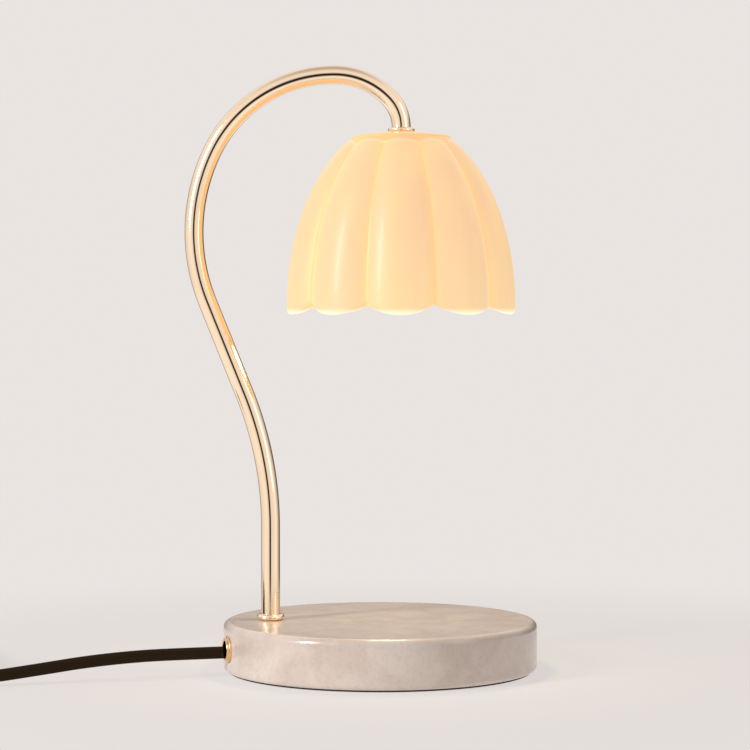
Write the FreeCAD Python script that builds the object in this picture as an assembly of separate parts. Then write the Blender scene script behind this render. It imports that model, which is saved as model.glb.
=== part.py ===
import FreeCAD, Part
import math
import os

# Candle warmer lamp: a marble disc carries a bent brass tube, and a petalled
# glass shade hangs from the tube's end with a reflector bulb inside it.
# Millimetres, +Z up, origin on the floor under the middle of the marble disc.

V = FreeCAD.Vector
UP = V(0, 0, 1)
DOWN = V(0, 0, -1)
PLUS_X = V(1, 0, 0)

# Fits
loose_gap = 0.25
fit_gap = 0.05
soft_gap = 0.3
run_gap = 0.06

# Marble base and its foam pad
base_radius = 75.0
marble_height = 23.2
base_top_round = 3.0
base_bottom_round = 2.2
pad_thickness = 0.8
pad_inset = 2.7
pocket_radius = 27.0
pocket_shift = 15.0
roof_thickness = 7.0

# Neck: one tube bent in a plane, given as its straight runs and its bends
neck_inset = 22.5
tube_radius = 4.5
tube_wall = 1.0
rise_length = 44.8
lean_radius = 170.4
lean_angle = 21.9
slant_length = 47.2
belly_radius = 89.1
belly_angle = 47.1
arch_radius = 64.5
arch_angle = 65.6
crook_radius = 36.0
crook_angle = 46.3
drop_radius = 19.6

# Collars
foot_collar_radius = 6.55
foot_collar_height = 3.0
shade_collar_radius = 6.35
shade_collar_height = 2.3

# Fasteners that hold the neck to the marble
plate_length = 38.0
plate_width = 18.0
plate_thickness = 2.0
plate_end_gap = 5.5
lock_washer_radius = 8.0
lock_washer_thickness = 0.8
base_nut_flats = 14.0
base_nut_height = 4.0
thread_end = 0.8

# Glass shade
petals = 10
first_petal = -91.0
shade_radius = 55.7
shade_drop = 86.5
widest_rise = 4.2
petal_overshoot = 5.7
groove_ratio = 0.92
glass_wall = 2.8
glass_crown = 3.6
crown_radius = 27.6
crown_round = 6.0
crown_sink = 1.6
crown_seat = 7.5
petal_tuck = 2.6
crown_seam = 15.0
scallop_rise = 5.4
scallop_bevel = 0.45
scallop_inside = 10.0
scallop_outside = 4.0

# Stack under the crown of the shade
gasket_radius = 16.0
gasket_thickness = 1.0
cap_radius = 18.0
cap_thickness = 1.2
shade_nut_flats = 14.0
shade_nut_height = 3.0
bracket_width = 12.0
bracket_sheet = 1.2
bracket_bend = 1.6

# Bulb holder and bulb
holder_length = 32.4
holder_width = 17.0
holder_height = 16.0
holder_round = 4.0
holder_drop = 1.6
pin_pitch_radius = 5.0
pin_neck_radius = 1.5
pin_head_radius = 2.5
pin_length = 6.3
pin_head_height = 2.2
face_plate = 3.2
twist_angle = 25.0
cavity_depth = 8.0
contact_sheet = 0.6
screw_radius = 1.5
screw_head_radius = 2.9
screw_head_height = 1.8
holder_screw_length = 7.0
bulb_seat_gap = 0.3
bulb_base_radius = 12.8
bulb_base_height = 9.0
bulb_radius = 25.0
bulb_length = 46.0
bulb_wall = 1.6
bulb_rim_height = 3.4
lens_thickness = 2.0
capsule_radius = 4.4
capsule_length = 16.0

# Wires inside the lamp
wire_radius = 1.0
wire_spread = 1.5
wire_bend = 4.0
splice_radius = 3.2
splice_length = 14.0
splice_from_neck = 21.5
splice_y = 3.3
splice_depth = 6.0

# Flat twin cord, its wide side upright, and its brass grommet
cord_width = 5.8
cord_thick = 2.9
cord_bearing = 197.0
grommet_height = 12.5
cord_sag = 1.2
grommet_bore = 4.3
grommet_barrel = 4.95
grommet_flange = 6.15
grommet_lip = 5.2
grommet_proud = 2.2
grommet_length = 14.0
spot_radius = 6.5
cord_start_inset = 0.5
cord_stop_inset = 25.0
stop_radius = 5.4
stop_length = 4.0
inner_cord_inset = 29.0
floor_gap = 0.1

# Dimmer on the cord
dimmer_length = 56.0
dimmer_width = 30.0
dimmer_half = 8.0
dimmer_wall = 1.6
dimmer_round = 2.5
dial_radius = 11.5
dial_height = 6.0
dial_lift = 0.5
dial_ribs = 24
shaft_radius = 3.0
shaft_flat = 0.8
pot_radius = 7.5
pot_height = 4.5
board_length = 26.0
board_width = 20.0
board_thickness = 1.6
post_radius = 4.1
post_x = 18.5
relief_length = 20.0
relief_grow = 2.3

# Coil
coil_radius = 36.0
coil_step = 3.75
coil_lift = 6.7
coil_bulge = 3.4
turns_in = 3.0
turns_out = 2.25
climb_turn = 0.5
stations_per_turn = 4

# Plug
plug_body_length = 24.0
plug_body_width = 22.0
plug_body_height = 13.0
plug_tip_width = 17.0
blade_pitch = 12.7
blade_width = 6.35
blade_thickness = 1.5
blade_length = 17.0
blade_root = 8.0

# The cord's free stretch from the grommet to the dimmer, as points chosen by hand
lead_route = [
    (-71.2, -21.8, 11.3),
    (-92.0, -28.1, 11.4),
    (-113.0, -34.4, 11.2),
    (-136.0, -41.3, 9.6),
    (-159.0, -47.8, 6.6),
    (-183.0, -55.0, 3.8),
    (-208.0, -61.6, 3.05),
    (-242.0, -68.4, 3.0),
    (-280.0, -71.4, 3.0),
    (-316.0, -68.0, 3.0),
    (-347.0, -54.0, 3.0),
    (-367.5, -30.0, 3.0),
    (-375.6, -3.0, 3.0),
    (-376.0, 22.0, 3.2),
    (-373.3, 36.6, 4.0),
    (-366.0, 49.0, 5.4),
    (-354.6, 57.2, 6.9),
    (-341.2, 60.0, 8.0),
    (-332.0, 60.0, 8.0),
]

# The free stretch from the dimmer to the start of the coil, chosen by hand
mains_route = [
    (-236.0, 60.0, 8.0),
    (-226.0, 60.0, 8.0),
    (-213.0, 56.3, 7.4),
    (-202.0, 47.7, 6.0),
    (-195.0, 34.4, 4.4),
    (-192.7, 17.7, 3.2),
    (-193.0, -2.0, 3.0),
]

# The way from the end of the coil to the plug, as steps from the coil's last point
plug_route = [
    (0.0, 0.0, 0.0),
    (-11.5, -0.3, 0.0),
    (-23.5, -1.2, -3.1),
    (-36.0, -2.3, -3.1),
]

# Levels worked out from the sizes above
pad_radius = base_radius - pad_inset
base_top = pad_thickness + marble_height
roof_z = base_top - roof_thickness
neck_x = neck_inset - base_radius
pocket_x = neck_x + pocket_shift
splice_x = neck_x + splice_from_neck
cord_start = base_radius - cord_start_inset
cord_stop_at = base_radius - cord_stop_inset
inner_cord_end = base_radius - inner_cord_inset
base_nut_bottom = roof_z - plate_thickness - lock_washer_thickness - base_nut_height
tube_bottom = base_nut_bottom - thread_end
wire_low = tube_bottom - wire_bend - 0.4
drop_angle = 180.0 + lean_angle - belly_angle - arch_angle - crook_angle
cord_z = cord_width / 2 + floor_gap
dimmer_x = mains_route[0][0] - dimmer_length / 2 - relief_length
dimmer_y = mains_route[0][1]
coil_x = mains_route[-1][0] - coil_radius
coil_y = mains_route[-1][1]


def cylinder(radius, height, at, axis=UP):
    return Part.makeCylinder(radius, height, at, axis)


def ring(outer, inner, height, at, axis=UP):
    return cylinder(outer, height, at, axis).cut(cylinder(inner, height, at, axis))


def box(length, width, height, middle_bottom):
    corner = middle_bottom - V(length / 2, width / 2, 0)
    return Part.makeBox(length, width, height, corner)


def hexagon(flats, height, at):
    corner = flats / math.sqrt(3)
    points = [
        at + V(corner * math.cos(math.radians(60 * k)), corner * math.sin(math.radians(60 * k)), 0)
        for k in range(7)
    ]
    return Part.Face(Part.makePolygon(points)).extrude(V(0, 0, height))


def nut(flats, height, bore, at):
    blank = hexagon(flats, height, at)
    dome = cylinder(flats / math.sqrt(3), height, at)
    chamfered = dome.makeChamfer(0.7, [e for e in dome.Edges if e.Length > 3 * flats / 2])
    return blank.common(chamfered).cut(cylinder(bore, height, at))


def turned(profile, at):
    """A solid of revolution about the upright line through at. The profile lists edges as
    (r, z) points: two for a line, three for an arc, measured from at."""
    edges = []
    for points in profile:
        placed = [at + V(r, 0, z) for r, z in points]
        if len(placed) == 2:
            edges.append(Part.LineSegment(*placed).toShape())
        else:
            edges.append(Part.Arc(*placed).toShape())
    face = Part.Face(Part.Wire(edges))
    return face.revolve(at, UP, 360)


def bead(outer, inner, height, at):
    """A collar with a half-round rim."""
    half = height / 2
    return turned(
        [
            [(inner, 0), (outer - half, 0)],
            [(outer - half, 0), (outer, half), (outer - half, height)],
            [(outer - half, height), (inner, height)],
            [(inner, height), (inner, 0)],
        ],
        at,
    )


def flat_chain(x, z, heading, pieces, y=0.0):
    """Edges of a path in an upright plane from straight runs (length,) and bends
    (radius, angle), a positive angle turning left. Returns the edges and the end."""
    edges = []
    h = math.radians(heading)
    for piece in pieces:
        if len(piece) == 1:
            x1 = x + piece[0] * math.cos(h)
            z1 = z + piece[0] * math.sin(h)
            edges.append(Part.LineSegment(V(x, y, z), V(x1, y, z1)).toShape())
        else:
            radius, angle = piece
            side = math.copysign(1, angle)
            cx = x - side * radius * math.sin(h)
            cz = z + side * radius * math.cos(h)

            def on_arc(share):
                turn = h + math.radians(angle) * share - side * math.pi / 2
                return cx + radius * math.cos(turn), cz + radius * math.sin(turn)

            xm, zm = on_arc(0.5)
            x1, z1 = on_arc(1.0)
            edges.append(Part.Arc(V(x, y, z), V(xm, y, zm), V(x1, y, z1)).toShape())
            h += math.radians(angle)
        x = x1
        z = z1
    return edges, x, z


def sweep(edges, profile):
    path = Part.Wire(edges)
    swept = path.makePipeShell([profile], True, False)
    return Part.Solid(swept.Shells[0])


def round_profile(radius, at, axis):
    return Part.Wire(Part.makeCircle(radius, at, axis))


def neck_bends():
    return [
        (lean_radius, lean_angle),
        (slant_length,),
        (belly_radius, -belly_angle),
        (arch_radius, -arch_angle),
        (crook_radius, -crook_angle),
        (drop_radius, -drop_angle),
    ]


# The place where the neck points straight down again sets everything above the base
bend_x, bend_z = flat_chain(neck_x, base_top + rise_length, 90.0, neck_bends())[1:]
shade_top = bend_z - shade_collar_height - soft_gap
crown_under = shade_top - glass_crown
cap_top = crown_under - gasket_thickness
shade_nut_top = cap_top - cap_thickness
bracket_top = shade_nut_top - shade_nut_height
bracket_nut_top = bracket_top - bracket_sheet
tube_end = bracket_nut_top - shade_nut_height - thread_end
holder_top = tube_end - holder_drop
holder_face = holder_top - holder_height
bulb_top = holder_face - bulb_seat_gap
rim_z = shade_top - shade_drop
shade_axis = V(bend_x, 0, 0)


def at_shade(z):
    return V(bend_x, 0, z)


def marble_base():
    disc = cylinder(base_radius, marble_height, V(0, 0, pad_thickness))
    rims = sorted((e for e in disc.Edges if e.Closed), key=lambda e: e.BoundBox.ZMin)
    disc = disc.makeFillet(base_bottom_round, [rims[0]])
    rims = sorted((e for e in disc.Edges if e.Closed), key=lambda e: e.BoundBox.ZMin)
    disc = disc.makeFillet(base_top_round, [rims[-1]])
    pocket = cylinder(pocket_radius, roof_z - pad_thickness, V(pocket_x, 0, pad_thickness))
    neck_hole = cylinder(tube_radius + loose_gap, marble_height, V(neck_x, 0, pad_thickness))
    inward = cord_direction() * -1
    bore_mouth = cord_point(base_radius + 5, grommet_height)
    side_bore = cylinder(grommet_barrel, base_radius + 5 - cord_stop_at, bore_mouth, inward)
    spot_face = cylinder(spot_radius, 10, cord_point(spot_depth(), grommet_height), cord_direction())
    return disc.cut(pocket).cut(neck_hole).cut(side_bore).cut(spot_face)


def cord_direction():
    turn = math.radians(cord_bearing)
    return V(math.cos(turn), math.sin(turn), 0)


def cord_point(distance, z):
    return cord_direction() * distance + V(0, 0, z)


def spot_depth():
    """Distance from the middle of the base to the small flat that the grommet sits on."""
    return math.sqrt(base_radius**2 - spot_radius**2) - fit_gap


def base_pad():
    pad = cylinder(pad_radius, pad_thickness, V(0, 0, 0))
    return pad


def anchor_plate():
    middle = V(neck_x - plate_end_gap + plate_length / 2, 0, roof_z - plate_thickness)
    plate = box(plate_length, plate_width, plate_thickness, middle)
    plate = plate.makeFillet(2.0, [e for e in plate.Edges if abs(e.Length - plate_thickness) < 0.01])
    hole = cylinder(tube_radius + loose_gap, plate_thickness, V(neck_x, 0, middle.z))
    return plate.cut(hole)


def lock_washer():
    z = roof_z - plate_thickness - lock_washer_thickness
    washer = ring(lock_washer_radius, tube_radius + loose_gap, lock_washer_thickness, V(neck_x, 0, z))
    teeth = 12
    for k in range(teeth):
        turn = math.radians(360 * k / teeth)
        notch_at = V(neck_x, 0, z) + V(math.cos(turn), math.sin(turn), 0) * lock_washer_radius
        washer = washer.cut(cylinder(1.0, lock_washer_thickness, notch_at))
    return washer


def base_nut():
    return nut(base_nut_flats, base_nut_height, tube_radius + fit_gap, V(neck_x, 0, base_nut_bottom))


def neck_edges(y=0.0, low=None, high=None):
    low = tube_bottom if low is None else low
    high = tube_end if high is None else high
    pieces = [(base_top + rise_length - low,)] + neck_bends() + [(bend_z - high,)]
    return flat_chain(neck_x, low, 90.0, pieces, y)[0]


def neck_tube():
    start = V(neck_x, 0, tube_bottom)
    outer = sweep(neck_edges(), round_profile(tube_radius, start, UP))
    inner = sweep(neck_edges(), round_profile(tube_radius - tube_wall, start, UP))
    return outer.cut(inner)


def foot_collar():
    return bead(foot_collar_radius, tube_radius + fit_gap, foot_collar_height, V(neck_x, 0, base_top))


def shade_collar():
    return bead(shade_collar_radius, tube_radius + fit_gap, shade_collar_height, at_shade(shade_top))


def petal_radius(z):
    """The shade swells downwards as an ellipse, measured at the middle of a petal."""
    arch = shade_drop - widest_rise + petal_overshoot
    height = (z - rim_z - widest_rise) / arch
    return shade_radius * math.sqrt(max(0.0, 1 - height * height))


def petal_section(z, inset):
    """A closed ring of arcs at one height, one arc for each petal."""
    step = 360.0 / petals
    mid = petal_radius(z) - inset
    groove = petal_radius(z) * groove_ratio - inset

    def point(radius, degrees):
        turn = math.radians(degrees)
        return at_shade(z) + V(radius * math.cos(turn), radius * math.sin(turn), 0)

    edges = []
    for k in range(petals):
        middle = first_petal + k * step
        edges.append(
            Part.Arc(
                point(groove, middle - step / 2), point(mid, middle), point(groove, middle + step / 2)
            ).toShape()
        )
    return Part.Wire(edges)


def petal_bell(low, high, inset):
    levels = 9
    heights = []
    for k in range(levels):
        share = k / (levels - 1)
        heights.append(low + (high - low) * math.sin(share * math.pi / 2))
    return Part.makeLoft([petal_section(z, inset) for z in heights], True, False)


def crown_drum(radius, rounding, low, high, sink=0.0):
    """The crown's rounded cap, which may sink a little from its seat to its shoulder. Its
    seam is turned away from the grooves."""
    diagonal = rounding * math.sqrt(0.5)
    shoulder = high - sink
    flat = radius - rounding
    profile = [
        [(0, low), (radius, low)],
        [(radius, low), (radius, shoulder - rounding)],
        [
            (radius, shoulder - rounding),
            (flat + diagonal, shoulder - rounding + diagonal),
            (flat, shoulder),
        ],
    ]
    if sink > 0:
        middle = ((flat + crown_seat) / 2, high - 0.36 * sink)
        profile.append([(flat, shoulder), middle, (crown_seat, high)])
        flat = crown_seat
    profile.append([(flat, high), (0, high)])
    profile.append([(0, high), (0, low)])
    drum = turned(profile, shade_axis)
    drum.rotate(shade_axis, UP, crown_seam)
    return drum


def scallop(k):
    """What is cut away under one petal: below an arc that rises to both grooves, less so
    towards the inside."""
    half = math.radians(180.0 / petals + 0.05)
    low = rim_z - 6
    wires = []
    for reach in (shade_radius - scallop_inside, shade_radius + scallop_outside):
        side = reach * math.tan(half)
        rise = scallop_rise + (reach - shade_radius * groove_ratio) * scallop_bevel
        left_top = V(reach, -side, rim_z + rise)
        right_top = V(reach, side, rim_z + rise)
        left_low = V(reach, -side, low)
        right_low = V(reach, side, low)
        wires.append(
            Part.Wire(
                [
                    Part.Arc(left_top, V(reach, 0, rim_z), right_top).toShape(),
                    Part.LineSegment(right_top, right_low).toShape(),
                    Part.LineSegment(right_low, left_low).toShape(),
                    Part.LineSegment(left_low, left_top).toShape(),
                ]
            )
        )
    wedge = Part.makeLoft(wires, True, True)
    wedge.rotate(V(0, 0, 0), UP, first_petal + k * 360.0 / petals)
    wedge.translate(shade_axis)
    return wedge


def glass_shade():
    low = rim_z - 3
    crown_low = shade_top - crown_sink - crown_round - 3
    outer = petal_bell(low, shade_top - petal_tuck, 0.0)
    outer = outer.fuse(crown_drum(crown_radius, crown_round, crown_low, shade_top, crown_sink))
    inner = petal_bell(low, shade_top - crown_sink - crown_round, glass_wall)
    inner = inner.fuse(
        crown_drum(crown_radius - glass_wall, crown_round - glass_wall, crown_low - 2, crown_under)
    )
    shade = outer.cut(inner)
    shade = shade.cut(cylinder(tube_radius + loose_gap, 2 * glass_crown, at_shade(crown_under - 1)))
    for k in range(petals):
        shade = shade.cut(scallop(k))
    return shade


def shade_gasket():
    z = crown_under - gasket_thickness
    return ring(gasket_radius, tube_radius + loose_gap, gasket_thickness, at_shade(z))


def shade_cap():
    """A pressed cap washer with a turned-down edge."""
    z = cap_top - cap_thickness
    disc = ring(cap_radius, tube_radius + loose_gap, cap_thickness, at_shade(z))
    lip = ring(cap_radius, cap_radius - cap_thickness, 3.0, at_shade(z - 1.8))
    return disc.fuse(lip).removeSplitter()


def shade_nut():
    z = shade_nut_top - shade_nut_height
    return nut(shade_nut_flats, shade_nut_height, tube_radius + fit_gap, at_shade(z))


def bracket_nut():
    z = bracket_nut_top - shade_nut_height
    return nut(shade_nut_flats, shade_nut_height, tube_radius + fit_gap, at_shade(z))


def socket_bracket():
    """A strip bent into an upside-down U, with its two legs beside the bulb holder."""
    inside = holder_length + 2 * fit_gap
    leg_low = holder_face + 3.0
    outer = box(inside + 2 * bracket_sheet, bracket_width, bracket_top - leg_low, at_shade(leg_low))
    outer = outer.makeFillet(
        bracket_bend + bracket_sheet,
        [e for e in outer.Edges if e.BoundBox.ZMin > bracket_top - 0.01 and e.BoundBox.XLength < 0.01],
    )
    inner = box(inside, bracket_width, bracket_nut_top - leg_low, at_shade(leg_low))
    inner = inner.makeFillet(
        bracket_bend,
        [e for e in inner.Edges if e.BoundBox.ZMin > bracket_nut_top - 0.01 and e.BoundBox.XLength < 0.01],
    )
    strip = outer.cut(inner)
    strip = strip.cut(cylinder(tube_radius + loose_gap, 3 * bracket_sheet, at_shade(bracket_nut_top - 1)))
    across = cylinder(screw_radius + fit_gap, holder_length + 10, holder_screw_axis(-1, 5.0), PLUS_X)
    return strip.cut(across)


def holder_screw_axis(side, beyond):
    return at_shade((holder_top + holder_face) / 2) + V(side * (holder_length / 2 + beyond), 0, 0)


def bracket_screws():
    screws = []
    for side in (-1, 1):
        axis = V(-side, 0, 0)
        head_at = holder_screw_axis(side, fit_gap + bracket_sheet + screw_head_height)
        head = cylinder(screw_head_radius, screw_head_height, head_at, axis)
        head = head.makeFillet(1.0, [min_edge(head, side)])
        shank_at = holder_screw_axis(side, fit_gap + bracket_sheet)
        shank = cylinder(screw_radius, holder_screw_length, shank_at, axis)
        slot = Part.makeBox(0.8, 2 * screw_head_radius, 0.8)
        slot.translate(head_at - V(0.4, screw_head_radius, 0.4))
        screws.append(head.fuse(shank).removeSplitter().cut(slot))
    return Part.makeCompound(screws)


def min_edge(head, side):
    rims = [e for e in head.Edges if e.Closed]
    return max(rims, key=lambda e: side * e.CenterOfMass.x)


def arc_slot(pitch, half, start, end, z, height):
    """A curved slot about the bulb's axis with round ends, from one angle to another."""

    def point(radius, degrees):
        turn = math.radians(degrees)
        return at_shade(z) + V(radius * math.cos(turn), radius * math.sin(turn), 0)

    low, high = min(start, end), max(start, end)
    middle = (low + high) / 2
    cap = math.degrees(half / pitch)

    def tip(degrees, outwards):
        turn = math.radians(degrees)
        along = V(-math.sin(turn), math.cos(turn), 0) * (half * outwards)
        return point(pitch, degrees) + along

    edges = [
        Part.Arc(point(pitch + half, low), point(pitch + half, middle), point(pitch + half, high)),
        Part.Arc(point(pitch + half, high), tip(high, 1), point(pitch - half, high)),
        Part.Arc(point(pitch - half, high), point(pitch - half, middle), point(pitch - half, low)),
        Part.Arc(point(pitch - half, low), tip(low, -1), point(pitch + half, low)),
    ]
    face = Part.Face(Part.Wire([e.toShape() for e in edges]))
    return face.extrude(V(0, 0, height)) if cap else None


def lamp_holder():
    block = box(holder_length, holder_width, holder_height, at_shade(holder_face))
    upright = [e for e in block.Edges if abs(e.Length - holder_height) < 0.01]
    block = block.makeFillet(holder_round, upright)
    for turned_by in (0.0, 180.0):
        neck = arc_slot(
            pin_pitch_radius, pin_neck_radius + 0.15, turned_by, turned_by - twist_angle, holder_face, face_plate
        )
        cavity = arc_slot(
            pin_pitch_radius,
            pin_head_radius + loose_gap,
            turned_by + 2,
            turned_by - twist_angle - 2,
            holder_face + face_plate,
            cavity_depth - face_plate,
        )
        turn = math.radians(turned_by - twist_angle)
        entry_at = at_shade(holder_face) + V(math.cos(turn), math.sin(turn), 0) * pin_pitch_radius
        entry = cylinder(pin_head_radius + 0.15, face_plate, entry_at)
        block = block.cut(neck).cut(cavity).cut(entry)
    for side in (-1, 1):
        hole = cylinder(
            screw_radius + fit_gap, holder_screw_length + 1, holder_screw_axis(side, 1), V(-side, 0, 0)
        )
        wire_at = at_shade(holder_top - wire_entry()) + V(0, side * wire_spread, 0)
        block = block.cut(hole).cut(cylinder(wire_radius + 0.1, wire_entry(), wire_at))
    return block


def wire_entry():
    return holder_height - cavity_depth - 2.0


def holder_contacts():
    leaves = []
    for turned_by in (0.0, 180.0):
        level = holder_face + cavity_depth - contact_sheet
        leaf_level = holder_face - bulb_seat_gap + pin_length + soft_gap
        leaf = arc_slot(
            pin_pitch_radius, 1.6, turned_by - 2, turned_by - twist_angle + 2, leaf_level, contact_sheet
        )
        turn = math.radians(turned_by - twist_angle / 2)
        post_at = at_shade(leaf_level) + V(math.cos(turn), math.sin(turn), 0) * pin_pitch_radius
        post = cylinder(1.0, level + contact_sheet - leaf_level, post_at)
        leaves.append(leaf.fuse(post).removeSplitter())
    return Part.makeCompound(leaves)


def bulb_base():
    low = bulb_top - bulb_base_height
    body = cylinder(bulb_base_radius, bulb_base_height, at_shade(low))
    body = body.makeChamfer(1.5, [e for e in body.Edges if e.Closed and e.BoundBox.ZMin > bulb_top - 0.01])
    return body


def bulb_pins():
    pins = []
    for side in (-1, 1):
        at = at_shade(bulb_top) + V(side * pin_pitch_radius, 0, 0)
        shank = cylinder(pin_neck_radius, pin_length, at)
        head = cylinder(pin_head_radius, pin_head_height, at + V(0, 0, pin_length - pin_head_height))
        pins.append(shank.fuse(head).removeSplitter())
    return Part.makeCompound(pins)


def reflector_radius(depth):
    """The reflector opens as a parabola, measured down from the bulb's base."""
    bowl = bulb_length - bulb_base_height - bulb_rim_height
    return bulb_base_radius + (bulb_radius - 0.6 - bulb_base_radius) * math.sqrt(depth / bowl)


def bulb_reflector():
    """A glass bowl with a straight rim, open at the front for its lens."""
    neck_z = -bulb_base_height
    rim_top = -(bulb_length - bulb_rim_height)
    front = -bulb_length
    mid = (neck_z + rim_top) / 2
    half = reflector_radius(neck_z - mid)
    inner_neck = capsule_radius + 0.8
    lens_seat = bulb_radius - 1.0
    profile = [
        [(inner_neck, neck_z), (bulb_base_radius, neck_z)],
        [(bulb_base_radius, neck_z), (half, mid), (bulb_radius - 0.6, rim_top)],
        [(bulb_radius - 0.6, rim_top), (bulb_radius, rim_top)],
        [(bulb_radius, rim_top), (bulb_radius, front)],
        [(bulb_radius, front), (lens_seat, front)],
        [(lens_seat, front), (lens_seat, front + lens_thickness)],
        [(lens_seat, front + lens_thickness), (bulb_radius - 0.6 - bulb_wall, front + lens_thickness)],
        [
            (bulb_radius - 0.6 - bulb_wall, front + lens_thickness),
            (half - bulb_wall * 1.2, mid),
            (inner_neck, neck_z - bulb_wall),
        ],
        [(inner_neck, neck_z - bulb_wall), (inner_neck, neck_z)],
    ]
    return turned(profile, at_shade(bulb_top))


def bulb_lens():
    z = bulb_top - bulb_length
    return cylinder(bulb_radius - 1.0 - fit_gap, lens_thickness, at_shade(z))


def bulb_capsule():
    top = bulb_top - bulb_base_height
    tube = cylinder(capsule_radius, capsule_length, at_shade(top - capsule_length))
    tip = [e for e in tube.Edges if e.Closed and e.BoundBox.ZMin < top - capsule_length + 0.01]
    return tube.makeFillet(capsule_radius * 0.8, tip)


def lead_wires():
    wires = []
    for side in (-1, 1):
        y = side * wire_spread
        first = splice_x + splice_depth - neck_x - wire_bend
        pieces = [(first,), (wire_bend, -90.0)]
        pieces += [(base_top + rise_length - wire_low - wire_bend,)]
        pieces += neck_bends()
        pieces += [(bend_z - holder_top + wire_entry() - 0.4,)]
        start = V(splice_x + splice_depth, y, wire_low)
        edges = flat_chain(start.x, start.z, 180.0, pieces, y)[0]
        wires.append(sweep(edges, round_profile(wire_radius, start, V(-1, 0, 0))))
    return Part.makeCompound(wires)


def splice_caps():
    caps = []
    for side in (-1, 1):
        middle = V(splice_x, side * splice_y, wire_low)
        cap = cylinder(splice_radius, splice_length, middle, PLUS_X)
        far = [e for e in cap.Edges if e.Closed and e.BoundBox.XMin > splice_x + splice_length - 0.01]
        cap = cap.makeFillet(1.5, far)
        for y in (side * wire_spread, side * tail_y()):
            mouth = V(splice_x, y, wire_low)
            cap = cap.cut(cylinder(wire_radius + fit_gap, splice_depth + 0.5, mouth, PLUS_X))
        caps.append(cap)
    return Part.makeCompound(caps)


def tail_y():
    return splice_y + 1.4


def rounded_route(points, name=""):
    """Edges of a path whose straight runs are joined by tangent arcs. Each arc is as large
    as its two runs allow. Prints the tightest radius."""
    edges = []
    radii = []
    here = points[0]
    for k in range(1, len(points) - 1):
        into = points[k] - points[k - 1]
        out = points[k + 1] - points[k]
        shorter = min(into.Length, out.Length)
        into.normalize()
        out.normalize()
        turn = into.getAngle(out)
        cut = 0.45 * shorter
        radii.append(cut / math.tan(turn / 2))
        begin = points[k] - into * cut
        end = points[k] + out * cut
        edges.append(Part.LineSegment(here, begin).toShape())
        edges.append(Part.Arc(begin, arc_middle(begin, into, end), end).toShape())
        here = end
    edges.append(Part.LineSegment(here, points[-1]).toShape())
    if name:
        print(name, "radii", [round(r, 1) for r in radii])
    return edges


def arc_middle(begin, tangent, end):
    """The middle of the arc that leaves begin along tangent and passes through end."""
    chord = end - begin
    across = chord - tangent * chord.dot(tangent)
    across.normalize()
    radius = chord.dot(chord) / (2 * chord.dot(across))
    centre = begin + across * radius
    out = (begin - centre) + (end - centre)
    out.normalize()
    return centre + out * radius


def cord_profile(at, tangent):
    """A flat cord's outline with round edges, its wide side upright."""
    side = UP.cross(tangent)
    side.normalize()
    half = cord_thick / 2
    rise = cord_width / 2 - half
    top_left = at + side * half + UP * rise
    top_right = at - side * half + UP * rise
    low_left = at + side * half - UP * rise
    low_right = at - side * half - UP * rise
    return Part.Wire(
        [
            Part.Arc(top_left, at + UP * (rise + half), top_right).toShape(),
            Part.LineSegment(top_right, low_right).toShape(),
            Part.Arc(low_right, at - UP * (rise + half), low_left).toShape(),
            Part.LineSegment(low_left, top_left).toShape(),
        ]
    )


def cord_area():
    return math.pi * cord_thick**2 / 4 + cord_thick * (cord_width - cord_thick)


def report_volume(name, solid, edges):
    length = sum(e.Length for e in edges)
    ratio = solid.Volume / (length * cord_area())
    print(name, "length", round(length, 1), "volume ratio", round(ratio, 4))


def cord_lead():
    points = [V(*p) for p in lead_route]
    points[0] = cord_point(cord_start, grommet_height - cord_sag)
    points[-1] = V(dimmer_x - dimmer_length / 2 - relief_length, dimmer_y, dimmer_half)
    edges = rounded_route(points, "cord_lead")
    tangent = points[1] - points[0]
    tangent.normalize()
    solid = sweep(edges, cord_profile(points[0], tangent))
    report_volume("cord_lead", solid, edges)
    return solid


def inner_cord():
    """The end of the cord inside the base: a straight piece and its two conductors."""
    z = grommet_height - cord_sag
    start = cord_point(cord_start, z)
    inward = cord_direction() * -1
    flat = Part.Face(cord_profile(start, inward)).extrude(inward * (cord_start - inner_cord_end))
    pieces = [flat]
    end = cord_point(inner_cord_end, z)
    rise = (cord_width - cord_thick) / 2
    inside = splice_x + splice_depth
    low_tail = [
        end - UP * rise,
        end - UP * rise + inward * 3,
        V(splice_x - 5.0, -tail_y() - 0.6, wire_low + 0.8),
        V(splice_x - 1.0, -tail_y(), wire_low),
        V(inside, -tail_y(), wire_low),
    ]
    high_tail = [
        end + UP * rise,
        end + UP * rise + inward * 3,
        V(splice_x - 8.0, -1.0, wire_low + 6.6),
        V(splice_x - 5.6, tail_y(), wire_low + 3.2),
        V(splice_x - 1.0, tail_y() + 0.05, wire_low),
        V(inside, tail_y(), wire_low),
    ]
    for tail in (low_tail, high_tail):
        edges = rounded_route(tail)
        pieces.append(sweep(edges, round_profile(wire_radius - 0.1, tail[0], inward)))
    return Part.makeCompound(pieces)


def cord_stop():
    """A ring crimped on the cord behind the bore, which keeps a pull off the splices."""
    z = grommet_height - cord_sag
    outward = cord_direction()
    body = cylinder(stop_radius, stop_length, cord_point(cord_stop_at - stop_length / 2, z), outward)
    start = cord_point(cord_stop_at - stop_length, z)
    hole = Part.Face(cord_profile(start, outward)).extrude(outward * (2 * stop_length))
    return body.cut(hole)


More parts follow.
